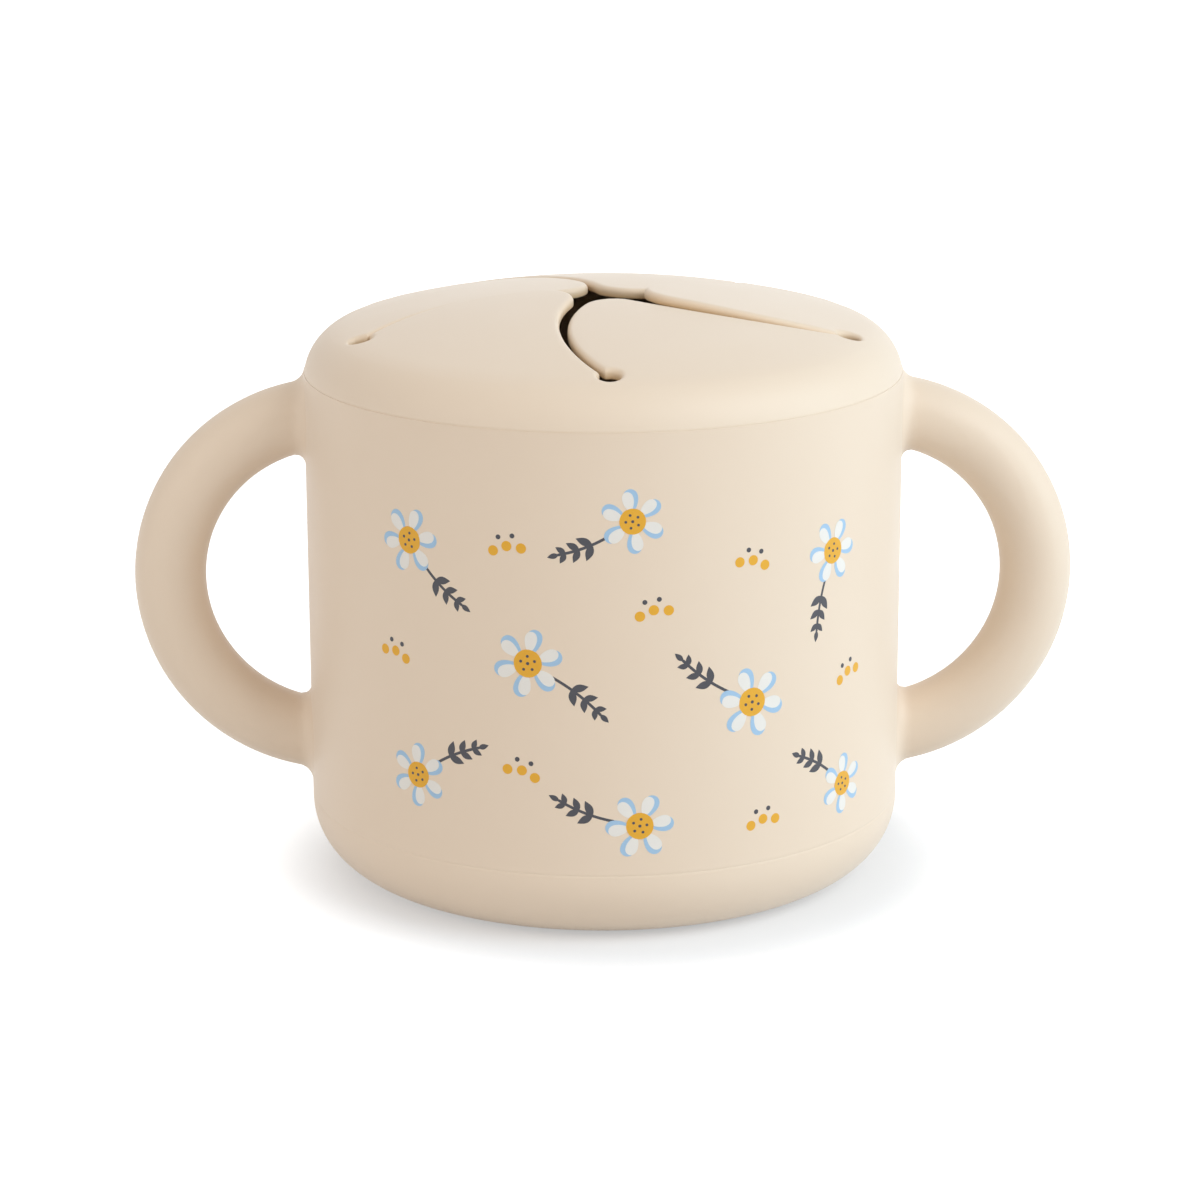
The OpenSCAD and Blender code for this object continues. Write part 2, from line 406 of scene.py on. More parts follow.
# %% Heights of the skin
DOME_R, SHOULDER_R, SKIN = 150.0, 8.0, 1.6
# the shoulder's arc would meet the cup's wall this far below the seam
SHOULDER_DROP = 1.2
SHOULDER_X, SHOULDER_Z = CUP_R - SHOULDER_R, SEAM - SHOULDER_DROP
# the dome runs into the shoulder without a crease
DOME_Z = SHOULDER_Z - math.sqrt((DOME_R - SHOULDER_R) ** 2 - SHOULDER_X ** 2)


def skin_height(r, inset):
    """Height of the lid's face, moved in from the outside by inset."""
    turnover = SHOULDER_X * (DOME_R - inset) / (DOME_R - SHOULDER_R)
    dome = DOME_Z + np.sqrt((DOME_R - inset) ** 2 - np.minimum(r, turnover) ** 2)
    arc = (SHOULDER_R - inset) ** 2 - (np.maximum(r, turnover) - SHOULDER_X) ** 2
    return np.where(r < turnover, dome, SHOULDER_Z + np.sqrt(np.maximum(arc, 0)))


print("dome top:", round(float(skin_height(0.0, 0.0)), 2), "mm")

# %% [markdown]
# ## The plan of the slits
# Five slits run in curves from the middle to small round holes, which stop
# the silicone from tearing. The holes are drawn a quarter of a millimetre
# wider all round than in the CAD model, because they look so in the picture.
# Each flap lies between two neighbouring slits and ends in a rounded tip. In
# the real lid a flap has no border at its root: the skin just bends there.
# The mesh needs a border, so it is put on the straight line between the
# outermost points of two holes, outside the line where the bending starts.
# Nothing moves there, so ring and flap stay one skin.

# %% Slits and holes in plan
FLAP_NAMES = ["front_right", "back_right", "back", "back_left", "front_left"]
FLAPS = len(FLAP_NAMES)
STEP = 360 / FLAPS
END_R, HOLE_R = 37.75, 1.65
SLIT_SWEEP = 35.0
SLIT_R = END_R / (2 * math.sin(math.radians(SLIT_SWEEP)))


def direction(degrees):
    return np.array([math.cos(math.radians(degrees)), math.sin(math.radians(degrees))])


def slit_angle(k):
    """Where slit k ends: slit 0 in front, the others anticlockwise from there."""
    return -90 + STEP * k


def flap_way(k):
    """The way from the axis out through the middle of flap k's root."""
    return direction(slit_angle(k) + STEP / 2)


def slit_centre(k):
    return SLIT_R * direction(slit_angle(k) + 90 - SLIT_SWEEP)


def hole_centre(k):
    return END_R * direction(slit_angle(k))


def unit(v):
    return v / np.linalg.norm(v)


print("each slit is an arc of radius", round(SLIT_R, 2), "mm")

# %% [markdown]
# The cut edges of the real lid are not sharp: the top edge is well rounded
# and the under edge a little. `drop` says how much lower the top face is at
# a given distance from a free edge, and `rise` how much higher the under
# face is. The rows of points beside an edge lie where the rounding turns by
# equal angles, and one more row lies on the flat skin.

# %% Rounded edges
EDGE_ROUND, UNDER_ROUND = 0.8, 0.3
FLAT_ROW = 1.3
ROWS = [EDGE_ROUND * (1 - math.cos(math.radians(a))) for a in (18, 36, 54, 72, 90)] + [FLAT_ROW]


def rounded(distance, radius):
    """How far a rounded edge of that radius lies below the flat face."""
    short = np.clip(radius - distance, 0, radius)
    return radius - np.sqrt(radius ** 2 - short ** 2)


def drop(distance):
    return rounded(distance, EDGE_ROUND)


def rise(distance):
    return rounded(distance, UNDER_ROUND)


print("rows of points beside each free edge at", np.round(ROWS, 3), "mm")

# %% The straight border between a flap and the ring
ROOT_POINTS = 38


def root_line(k):
    """Points from the rim of hole k to the rim of hole k+1, outside of which is the ring."""
    corner = (END_R + HOLE_R) * direction(slit_angle(k))
    far = (END_R + HOLE_R) * direction(slit_angle(k + 1))
    along, length = unit(far - corner), np.linalg.norm(far - corner)
    # the line leaves the hole's rim here, and then crosses the rows round the hole
    leaves_rim = 2 * HOLE_R * math.sin(math.radians(STEP / 2))
    slant = HOLE_R * math.cos(math.radians(90 - STEP / 2))
    steps = [0] + [math.sqrt(slant ** 2 + (HOLE_R + d) ** 2 - HOLE_R ** 2) - slant for d in ROWS]
    near = leaves_rim + np.array(steps)
    middle = np.linspace(near[-1], length - near[-1], ROOT_POINTS)[1:-1]
    steps = np.concatenate([near, middle, length - near[::-1]])
    return corner + steps[:, None] * along


print("a flap's border:", len(root_line(0)), "points,",
      round(float(np.linalg.norm(root_line(0)[-1] - root_line(0)[0])), 1), "mm long")

# %% Circles that meet
def crossing(a, ra, b, rb, side):
    """Where two circles cross: left of the way from a to b with side 1, right with -1."""
    gap = np.linalg.norm(b - a)
    along = (gap ** 2 + ra ** 2 - rb ** 2) / (2 * gap)
    u = unit(b - a)
    return a + along * u + side * math.sqrt(ra ** 2 - along ** 2) * np.array([-u[1], u[0]])


def sweep(centre, start, end, count, clockwise):
    """Points on an arc whose radius drifts evenly from start's to end's."""
    a = math.atan2(*(start - centre)[::-1])
    b = math.atan2(*(end - centre)[::-1])
    if clockwise and b > a:
        b -= 2 * math.pi
    if not clockwise and b < a:
        b += 2 * math.pi
    share = np.linspace(0, 1, count)
    r = np.linalg.norm(start - centre) * (1 - share) + np.linalg.norm(end - centre) * share
    angle = a + (b - a) * share
    return centre + r[:, None] * np.stack([np.cos(angle), np.sin(angle)], 1)


def edge_arc(centre, start, end, count, hollow):
    """An arc of a free edge, with the way into the silicone at each point.

    A hollow arc has the silicone outside its circle and runs anticlockwise.
    Any other has it inside and runs clockwise.
    """
    points = sweep(centre, start, end, count, clockwise=not hollow)
    away = (points - centre) / np.linalg.norm(points - centre, axis=1)[:, None]
    return points, away if hollow else -away


# %% [markdown]
# Slits are not all alike in the picture: the front one gapes, because the
# flap on its right sags, and the left one is nearly shut. So each flap has
# its own tip, and its own distance from the middle of the slit on each side.

# %% The free edge of one flap
# tip radius; then half gaps at the hole and at the tip, on the flap's first and second slit
FLAP_EDGES = {
    "front_right": (4.5, (0.30, 0.45), (0.20, 0.20)),
    "back_right": (7.6, (0.20, 0.40), (0.20, 0.30)),
    "back": (6.0, (0.20, 0.30), (0.20, 0.30)),
    "back_left": (7.4, (0.20, 0.30), (0.12, 0.15)),
    "front_left": (6.3, (0.12, 0.15), (0.62, 1.00)),
}
MOUTH_ROUND = 0.35
RIM_POINTS, MOUTH_POINTS, SLIT_POINTS, TIP_POINTS = 14, 7, 64, 26
TIP_ARC = 3


def free_edge(k):
    """Arcs of flap k's edge in order: hole k, slit k, tip, slit k+1, hole k+1."""
    tip, (hole_gap0, tip_gap0), (hole_gap1, tip_gap1) = FLAP_EDGES[FLAP_NAMES[k]]
    m0, m1, h0, h1 = slit_centre(k), slit_centre(k + 1), hole_centre(k), hole_centre(k + 1)

    # the corners where slits run into holes, and the tip, are arcs that touch both neighbours
    q = MOUTH_ROUND
    c0 = crossing(m0, SLIT_R - hole_gap0 - q, h0, HOLE_R + q, side=-1)
    c1 = crossing(m1, SLIT_R + hole_gap1 + q, h1, HOLE_R + q, side=-1)
    ct = crossing(m0, SLIT_R - tip_gap0 - tip, m1, SLIT_R + tip_gap1 + tip, side=1)

    hole0, slit0 = h0 + HOLE_R * unit(c0 - h0), c0 + q * unit(c0 - m0)
    tip0, tip1 = ct + tip * unit(ct - m0), ct + tip * unit(m1 - ct)
    slit1, hole1 = c1 + q * unit(m1 - c1), h1 + HOLE_R * unit(c1 - h1)
    return [edge_arc(h0, root_line(k)[0], hole0, RIM_POINTS, hollow=True),
            edge_arc(c0, hole0, slit0, MOUTH_POINTS, hollow=False),
            edge_arc(m0, slit0, tip0, SLIT_POINTS, hollow=False),
            edge_arc(ct, tip0, tip1, TIP_POINTS, hollow=False),
            edge_arc(m1, tip1, slit1, SLIT_POINTS, hollow=True),
            edge_arc(c1, slit1, hole1, MOUTH_POINTS, hollow=False),
            edge_arc(h1, hole1, root_line(k)[-1], RIM_POINTS, hollow=True)]


for k, name in enumerate(FLAP_NAMES):
    arcs = free_edge(k)
    count = sum(len(points) for points, _ in arcs)
    reach = np.linalg.norm(arcs[TIP_ARC][0], axis=1).min()
    print(f"{name}: free edge of {count} points, tip {reach:.1f} mm from the axis")

# %% [markdown]
# ## Filling a plan
# A flap's plan has curved sides and sharp corners, so it is filled with
# triangles by a Delaunay fill. Rows of points follow each free edge at the
# distances where its rounding needs them, and an even spread of points
# fills the rest.

# %% Tests for points in plan
def inside_of(points, outline):
    """Whether each point lies inside the closed outline."""
    a, b = outline, np.roll(outline, -1, axis=0)
    x, y = points[:, :1], points[:, 1:]
    spans = (a[:, 1] > y) != (b[:, 1] > y)
    height_ab = np.where(b[:, 1] == a[:, 1], 1, b[:, 1] - a[:, 1])
    to_left = x < a[:, 0] + (b[:, 0] - a[:, 0]) * (y - a[:, 1]) / height_ab
    return (spans & to_left).sum(1) % 2 == 1


def distance_to(points, path):
    """Shortest distance from each point to an open path."""
    a, ab = path[:-1], path[1:] - path[:-1]
    share = (((points[:, None] - a) * ab).sum(-1) / (ab ** 2).sum(-1)).clip(0, 1)
    return np.linalg.norm(points[:, None] - a - share[..., None] * ab, axis=-1).min(1)


def spread(low, high, step):
    """Points in staggered rows over a rectangle."""
    rows = np.arange(low[1], high[1], step * math.sqrt(3) / 2)
    return np.array([(x + step / 2 * (i % 2), y) for i, y in enumerate(rows)
                     for x in np.arange(low[0], high[0], step)])


EVEN_STEP, LID_SPAN = 1.5, 42.0
EVEN_SPREAD = spread((-LID_SPAN, -LID_SPAN), (LID_SPAN, LID_SPAN), EVEN_STEP)
print("even spread:", len(EVEN_SPREAD), "points")


# %% The fill
SAME_POINT, NO_AREA = 1e-6, 1e-9


def fill(outlines, extra, keep):
    """Points and triangles over closed outlines and extra points.

    `keep` says from the middles of the triangles which of them stay.
    """
    edges, start = [], 0
    for outline in outlines:
        n = len(outline)
        edges += [(start + i, start + (i + 1) % n) for i in range(n)]
        start += n
    points = np.vstack([*outlines, extra])
    _, _, faces, origin, _, _ = delaunay_2d_cdt([Vector(p) for p in points.tolist()],
                                                edges, [], 0, SAME_POINT)
    faces = np.array([[origin[i][0] for i in face] for face in faces])
    a, b, c = (points[faces[:, i]] for i in range(3))
    turns = (b - a)[:, 0] * (c - a)[:, 1] - (b - a)[:, 1] * (c - a)[:, 0]
    faces[turns < 0] = faces[turns < 0][:, ::-1]
    middles = (a + b + c) / 3
    return points, faces[keep(middles) & (abs(turns) > NO_AREA)]


def closed_faces(triangles, count, rim):
    """Faces of an upper sheet of count points, a lower sheet after it, and the wall between."""
    edge = np.arange(rim)
    after = np.roll(edge, -1)
    walls = np.stack([edge + count, after + count, after, edge], 1)
    return triangles.tolist() + (triangles[:, ::-1] + count).tolist() + walls.tolist()


# %% [markdown]
# ## The flaps
# Each flap is a thin skin of 1.6 mm. Its plan is filled, lifted onto the
# outer face, copied to the inner face, and closed round the edge. A lattice
# or a cast modifier could bend it too; here the rest bend is worked out on
# the points themselves.

# %% Heights beside the holes and slits
def hole_distance(points):
    """Distance from each point to the nearest hole's rim."""
    to_centres = [np.linalg.norm(points - hole_centre(k), axis=1) for k in range(FLAPS)]
    return np.min(to_centres, axis=0) - HOLE_R


def raise_skin(points, distance):
    """The outer and inner face over points in plan, which are that distance from a free edge."""
    r, d = np.linalg.norm(points, axis=1), np.maximum(distance, 0)
    outer = np.column_stack([points, skin_height(r, 0.0) - drop(d)])
    inner = np.column_stack([points, skin_height(r, SKIN) + rise(d)])
    return outer, inner


# painted shade: the rounded top edge takes half of the slit shade's colour; on the under face it
# runs out over 1.2 mm
PAINTED_SHADE_TOP, PAINTED_SHADE_REACH = 0.5, 1.2


def painted_shade_share(distance, upper):
    """How much painted slit shade a point of the upper or the under face gets."""
    if upper:
        return PAINTED_SHADE_TOP * drop(np.maximum(distance, 0)) / EDGE_ROUND
    return np.clip(1 - distance / PAINTED_SHADE_REACH, 0, 1)


# writes the painted slit shade onto the points of a piece, for the lid's material
def mark_painted_shade(piece, shares):
    mark = piece.data.attributes.new(SLIT_SHADE_ATTRIBUTE, "FLOAT", "POINT")
    mark.data.foreach_set("value", np.concatenate(shares).astype(np.float32))


for beside in (0.0, FLAT_ROW):
    upper, lower = raise_skin(np.zeros((1, 2)), np.array([beside]))
    thick = float(upper[0, 2] - lower[0, 2])
    print(beside, "mm from an edge the skin is", round(thick, 2), "mm thick")

# %% Bending at the root
# the five CAD hinges lie at one distance from the axis and at one height
hinge = next(joint for joint in frame["joints"] if joint["type"] == "hinge")
hinge_x, hinge_y, HINGE_Z = (1000 * v for v in hinge["pos_m"])
HINGE_D = math.hypot(hinge_x, hinge_y)
# the bend starts a hair inside the flaps' border, where nothing may move
BORDER_D = (END_R + HOLE_R) * math.cos(math.radians(STEP / 2))
HAIR, BEND_INSIDE = 0.003, 5.0
BEND_START, BEND_END = BORDER_D - HAIR, HINGE_D - BEND_INSIDE
# lift of the flap in degrees, and how much more of it there is TWIST_AT mm along the root line
TWIST_AT = 20
REST = {
    "front_right": (-0.9, 1.6),
    "back_right": (1.2, -1.7),
    "back": (-1.1, 0.0),
    "back_left": (-1.0, 0.0),
    "front_left": (0.6, 0.0),
}


def bent(points, k, lift, twist):
    """The points of flap k turned about its root line, growing smoothly from the border inwards."""
    out, along = flap_way(k), direction(slit_angle(k) + STEP / 2 + 90)
    distance = points[:, :2] @ out
    share = np.clip((BEND_START - distance) / (BEND_START - BEND_END), 0, 1)
    degrees = lift + twist * (points[:, :2] @ along) / TWIST_AT
    angle = share ** 2 * (3 - 2 * share) * np.radians(degrees)
    inwards, up = HINGE_D - distance, points[:, 2] - HINGE_Z
    moved_in = inwards * np.cos(angle) - up * np.sin(angle)
    moved_up = inwards * np.sin(angle) + up * np.cos(angle)
    plan = points[:, :2] + (inwards - moved_in)[:, None] * out
    return np.column_stack([plan, HINGE_Z + moved_up])


print("flaps bend between", round(BEND_START, 2), "and", round(BEND_END, 2), "mm from the axis")

# %% One flap
# least distances between the points of the plan, in mm
ROW_SLACK, ROW_TO_BORDER = 0.02, 0.07
EVEN_TO_ROW, EVEN_TO_BORDER = 0.5, 0.6


def make_flap(k):
    name = FLAP_NAMES[k]
    arcs = free_edge(k)
    free = np.vstack([points[:-1] for points, _ in arcs[:-1]] + [arcs[-1][0]])
    border = root_line(k)
    outline = np.vstack([border, free[-2:0:-1]])
    slits = np.vstack([points[:-1] for points, _ in arcs[1:-1]] + [arcs[-1][0][:1]])

    def edge_distance(points):
        return np.minimum(hole_distance(points), distance_to(points, slits))

    # rows beside the edge, without those that a neighbouring arc is nearer to
    extra = []
    for row in ROWS:
        candidates = np.vstack([points + row * way for points, way in arcs])
        extra.append(candidates[edge_distance(candidates) > row - ROW_SLACK])
    extra = np.vstack(extra)
    extra = extra[inside_of(extra, outline) & (distance_to(extra, border) > ROW_TO_BORDER)]
    even = EVEN_SPREAD[inside_of(EVEN_SPREAD, outline)]
    even = even[(edge_distance(even) > FLAT_ROW + EVEN_TO_ROW)
                & (distance_to(even, border) > EVEN_TO_BORDER)]

    plan, triangles = fill([outline], np.vstack([extra, even]), lambda m: inside_of(m, outline))
    distance = edge_distance(plan)
    distance[len(border):len(outline)] = 0
    outer, inner = raise_skin(plan, distance)
    points = bent(np.vstack([outer, inner]), k, *REST[name])
    faces = closed_faces(triangles, len(plan), len(outline))

    flap = make_piece("lid_flap_" + name, points, faces, LID_SILICONE)
    # painted shade on the flap's slit faces and cut edges
    mark_painted_shade(flap, [painted_shade_share(distance, upper=True), painted_shade_share(distance, upper=False)])
    node, out = "flap_" + name, flap_way(k)
    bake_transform(flap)
    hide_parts(node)


for k in range(FLAPS):
    make_flap(k)

# %% [markdown]
# ## The ring of the lid
# The rest of the lid is a turned part. Its section runs over the shoulder to
# the seam, into the channel that grips the cup's rim, round the plug, and
# back up to the skin. The section is turned about the axis, as a screw or
# spin modifier would do, and two filled plates close it in the middle: the
# skin outside the flaps, seen from above and from below.

# %% The ring's section
# the channel keeps this gap from the cup's tongue, and the plug is the wall inside it
RIM_GAP, PLUG_WALL, PLUG_END = 0.15, 1.75, 72.0
CHANNEL_OUT, CHANNEL_IN, CHANNEL_TOP = TONGUE_R + RIM_GAP, BORE_R - RIM_GAP, TONGUE_TOP + RIM_GAP
PLUG_IN = CHANNEL_IN - PLUG_WALL
PLATE_TOP_R, PLATE_UNDER_R = 40.8, PLUG_IN
STEPS_ROUND = 300


def arc_rows(centre, radius, start, end, count):
    angle = np.radians(np.linspace(start, end, count))
    return np.column_stack([centre[0] + radius * np.cos(angle), centre[1] + radius * np.sin(angle)])


shoulder_from = math.degrees(math.acos((PLATE_TOP_R - SHOULDER_X) / SHOULDER_R))
shoulder_to = math.degrees(math.asin((SEAM + SEAM_ROUND - SHOULDER_Z) / SHOULDER_R))
shoulder = arc_rows((SHOULDER_X, SHOULDER_Z), SHOULDER_R, shoulder_from, shoulder_to, 22)[1:]
corner = (shoulder[-1][0] - SEAM_ROUND, SEAM + SEAM_ROUND)
seam_edge = arc_rows(corner, SEAM_ROUND, 0, -90, 4)[1:]
plug_r = (CHANNEL_IN - PLUG_IN) / 2
plug_end = arc_rows((PLUG_IN + plug_r, PLUG_END + plug_r), plug_r, 0, -180, 11)
# the bare numbers are rows between two corners, which keep the faces short
section = np.vstack([shoulder, seam_edge, (44.0, SEAM),
                     (CHANNEL_OUT, SEAM), (CHANNEL_OUT, 78.2), (CHANNEL_OUT, CHANNEL_TOP),
                     (42.2, CHANNEL_TOP), (CHANNEL_IN, CHANNEL_TOP),
                     (CHANNEL_IN, 77.5), (CHANNEL_IN, 75.2), plug_end,
                     (PLUG_IN, 75.0), (PLUG_IN, 78.0), (PLUG_IN, 80.2)])
print("rows in the section:", len(section))

# %% The two plates
round_angle = np.radians(-90 + 360 / STEPS_ROUND * np.arange(STEPS_ROUND))
round_way = np.stack([np.cos(round_angle), np.sin(round_angle)], 1)
RING_RIM_POINTS = 17
ROW_TO_CIRCLE, ROW_TO_LOOP, EVEN_TO_LOOP = 0.12, 0.03, 0.7


def ring_inside():
    """The ring's inner outline: part of each hole's rim, then the border to the next hole."""
    loop, rows = [], []
    for k in range(FLAPS):
        rim, way = edge_arc(hole_centre(k), root_line(k - 1)[-1], root_line(k)[0],
                            RING_RIM_POINTS, hollow=True)
        loop += [rim, root_line(k)[1:-1]]
        rows += [rim + row * way for row in ROWS]
    return np.vstack(loop), np.vstack(rows)


ring_loop, ring_rows = ring_inside()
closed_loop = np.vstack([ring_loop, ring_loop[:1]])


def plate(plate_r):
    """Plan points and triangles between the inner outline and a circle."""
    circle = plate_r * round_way
    extra = ring_rows[np.linalg.norm(ring_rows, axis=1) < plate_r - ROW_TO_CIRCLE]
    extra = extra[~inside_of(extra, ring_loop) & (distance_to(extra, closed_loop) > ROW_TO_LOOP)]
    even = EVEN_SPREAD[np.linalg.norm(EVEN_SPREAD, axis=1) < plate_r - EVEN_TO_LOOP]
    even = even[~inside_of(even, ring_loop)]
    even = even[(hole_distance(even) > FLAT_ROW + EVEN_TO_ROW)
                & (distance_to(even, closed_loop) > EVEN_TO_LOOP)]
    return fill([circle, ring_loop], np.vstack([extra, even]), lambda m: ~inside_of(m, ring_loop))


top_plan, top_faces = plate(PLATE_TOP_R)
under_plan, under_faces = plate(PLATE_UNDER_R)
print("plates:", len(top_faces), "and", len(under_faces), "triangles")

# %% The ring's mesh
top_distance, under_distance = hole_distance(top_plan), hole_distance(under_plan)
top = raise_skin(top_plan, top_distance)[0]
under = raise_skin(under_plan, under_distance)[1]
turned = np.vstack([np.column_stack([r * round_way, np.full(STEPS_ROUND, z)]) for r, z in section])
under_start = len(top) + len(turned)
starts = [0] + [len(top) + i * STEPS_ROUND for i in range(len(section))] + [under_start]
here = np.arange(STEPS_ROUND)
after = np.roll(here, -1)
ring_faces = top_faces.tolist() + (under_faces[:, ::-1] + under_start).tolist()
for a, b in zip(starts, starts[1:]):
    ring_faces += np.stack([a + here, b + here, b + after, a + after], 1).tolist()
edge = STEPS_ROUND + np.arange(len(ring_loop))
after = np.roll(edge, -1)
ring_faces += np.stack([edge, after, after + under_start, edge + under_start], 1).tolist()

lid_ring = make_piece("lid_ring_skin", np.vstack([top, turned, under]), ring_faces, LID_SILICONE)
# painted shade on the ring's cut edges round the holes
mark_painted_shade(lid_ring, [painted_shade_share(top_distance, upper=True), np.zeros(len(turned)),
                          painted_shade_share(under_distance, upper=False)])
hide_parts("lid_ring")
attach(lid_ring, "lid")

# %% [markdown]
# ## The print
# Silicone cups are pad printed: a soft pad presses thin, flexible ink onto
# the wall. The ink follows the curve and has a crisp edge. It could be a
# painted image, but an image carries no size, so each colour is a thin film
# of its own that lies on the wall. The motifs are plain daisies, sprigs and
# dots, in charcoal, mustard, pale blue and off-white.

# %% Ink materials
def ink(name, colour, deeper):
    material, nodes, links = new_material(name)
    shader = nodes["Principled BSDF"]
    shader.inputs["Roughness"].default_value = 0.46
    shader.inputs["IOR"].default_value = SILICONE_IOR
    place = nodes.new("ShaderNodeTexCoord")
    mottle = two_shades(nodes, links, colour, deeper, 420.0, place)
    links.new(mottle, shader.inputs["Base Color"])
    return material


CHARCOAL = ink("ink_charcoal", (0.075, 0.075, 0.088), (0.060, 0.060, 0.072))
MUSTARD = ink("ink_mustard", (0.800, 0.425, 0.036), (0.745, 0.380, 0.030))
PALE_BLUE = ink("ink_pale_blue", (0.370, 0.560, 0.760), (0.340, 0.530, 0.740))
OFF_WHITE = ink("ink_off_white", (0.820, 0.800, 0.760), (0.790, 0.770, 0.730))
print("inks:", ", ".join(colour.name for colour in (CHARCOAL, MUSTARD, PALE_BLUE, OFF_WHITE)))

# %% Shapes of the motifs, flat, in millimetres
def placed(shape, spot, degrees):
    """A shape turned by the angle and moved to the spot."""
    across = direction(degrees)
    return np.asarray(spot) + shape @ np.array([across, [-across[1], across[0]]])


def disc(radius, count=26):
    t = np.linspace(0, 2 * math.pi, count, endpoint=False)
    return radius * np.stack([np.cos(t), np.sin(t)], 1)


def petal(start, length, width, count=34):
    """A rounded petal along +u that is widest beyond its middle."""
    t = np.linspace(0, 2 * math.pi, count, endpoint=False)
    along = start + length * (1 - np.cos(t)) / 2
    return np.stack([along, width / 2 * np.sin(t) * (0.78 - 0.22 * np.cos(t))], 1)


def leaf(length, width, count=15):
    """A pointed leaf along +u, widest a little before its middle."""
    s = np.linspace(0, 1, count)
    half = width / 2 * np.sin(math.pi * s ** 0.85)
    upper = np.stack([length * s, half], 1)
    return np.vstack([np.stack([length * s, -half], 1), upper[-2:0:-1]])


def stroke(path, width):
    """A line with rounded ends along a path."""
    path = np.asarray(path, float)
    ways = np.gradient(path, axis=0)
    ways /= np.linalg.norm(ways, axis=1)[:, None]
    side = np.stack([-ways[:, 1], ways[:, 0]], 1) * width / 2
    cap = np.radians(np.linspace(-90, 90, 7)[1:-1])[:, None]
    end = path[-1] + width / 2 * np.cos(cap) * ways[-1] + np.sin(cap) * side[-1]
    begin = path[0] - width / 2 * np.cos(cap) * ways[0] - np.sin(cap) * side[0]
    return np.vstack([path - side, end, (path + side)[::-1], begin])


print("points in the outlines of a petal, a leaf and a disc:",
      len(petal(1.5, 2.75, 2.0)), len(leaf(2.5, 1.15)), len(disc(1.85)))

# %% A film of one ink colour
def on_wall(plan, height):
    """Flat positions wrapped round the wall: u runs round from the front, v upwards."""
    turn = plan[:, 0] / CUP_R - math.pi / 2
    r = CUP_R + height
    return np.stack([r * np.cos(turn), r * np.sin(turn), plan[:, 1]], 1)


# the films reach this far into the wall, so that none of them floats
INK_DEPTH = 0.06
INK_STEP, INK_TO_EDGE = 1.0, 0.3


def print_film(name, shapes, material):
    """One piece from (outline, height above the wall) pairs."""
    points, faces, start = [], [], 0
    for outline, height in shapes:
        even = spread(outline.min(0), outline.max(0), INK_STEP)
        even = even[inside_of(even, outline)]
        closed = np.vstack([outline, outline[:1]])
        even = even[distance_to(even, closed) > INK_TO_EDGE] if len(even) else np.zeros((0, 2))
        plan, triangles = fill([outline], even, lambda m, o=outline: inside_of(m, o))
        local = closed_faces(triangles, len(plan), len(outline))
        faces += [[start + i for i in face] for face in local]
        points += [on_wall(plan, height), on_wall(plan, -INK_DEPTH)]
        start += 2 * len(plan)
    film = make_piece(name, np.vstack(points), faces, material)
    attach(film, "cup")


# %% Daisies with sprigs
white, blue, gold, dark = [], [], [], []
# heights above the wall in mm, one over the other where the shapes overlap
STEM_UP, LEAF_UP, LEAF_STEP = 0.008, 0.014, 0.003
BLUE_UP, WHITE_UP, PETAL_STEP = 0.020, 0.030, 0.004
CENTRE_UP, SEED_UP, BERRY_UP = 0.042, 0.050, 0.020


def sprig(foot, length, way, bend):
    """A curved stem with three pairs of leaves, from its foot outwards."""
    s = np.linspace(0, 1, 17)
    path = placed(np.stack([length * s, bend * s ** 2], 1), foot, way)
    dark.append((stroke(path, 0.42), STEM_UP))
    for i, at in enumerate((6, 10, 14)):
        heading = math.degrees(math.atan2(*(path[at] - path[at - 1])[::-1]))
        for side in (-1, 1):
            shape = placed(leaf(2.5 - 0.4 * i, 1.15 - 0.15 * i), path[at], heading + side * 46)
            dark.append((shape, LEAF_UP + LEAF_STEP * side))
    dark.append((placed(leaf(1.7, 0.8), path[-1], heading), LEAF_UP + LEAF_STEP))


def daisy(u, v, size, turn, stem, bend, petals=6, seeds=5):
    """White petals with a blue edge, a mustard centre with dots, and a sprig."""
    spot = np.array([u, v])
    sprig(spot + 3.6 * size * direction(stem), 7.6 * size, stem, bend)
    for i in range(petals):
        way, step = turn + 360 / petals * i, PETAL_STEP * (i % 2)
        edge = placed(petal(1.3 * size, 3.3 * size, 2.6 * size), spot, way - 5)
        face = placed(petal(1.5 * size, 2.75 * size, 2.0 * size), spot, way + 2)
        blue.append((edge, BLUE_UP + step))
        white.append((face, WHITE_UP + step))
    gold.append((placed(disc(1.85 * size), spot, 0), CENTRE_UP))
    for i in range(seeds):
        seed = spot + 0.95 * size * direction(turn + 360 / seeds * i)
        dark.append((placed(disc(0.2 * size, 12), seed, 0), SEED_UP))
    dark.append((placed(disc(0.22 * size, 12), spot, 0), SEED_UP))


def berries(u, v, turn):
    """Three mustard dots in a bow, with two charcoal ones above."""
    for across, up in ((-2.1, -0.5), (0, 0), (2.1, -0.5)):
        gold.append((placed(disc(0.75) + (across, up), (u, v), turn), BERRY_UP))
    for across in (-1.05, 1.05):
        dark.append((placed(disc(0.36, 16) + (across, 1.4), (u, v), turn), BERRY_UP))


# %% The layout round the front
# way round, height, size, turn of the petals, heading and bend of the stem
DAISIES = (
    (-31, 59, 1.08, 12, -50, 1.5),
    (3, 64, 1.02, 40, -148, -1.4),
    (36, 56, 1.05, 5, -112, 1.2),
    (-12, 43, 1.12, 20, -28, -1.5),
    (21, 36, 1.15, 50, 152, -1.4),
    (-30, 24, 1.05, 33, 35, -1.3),
    (4, 19, 1.08, 8, 168, -1.3),
    (39, 20, 1.0, 30, 140, 1.2),
)
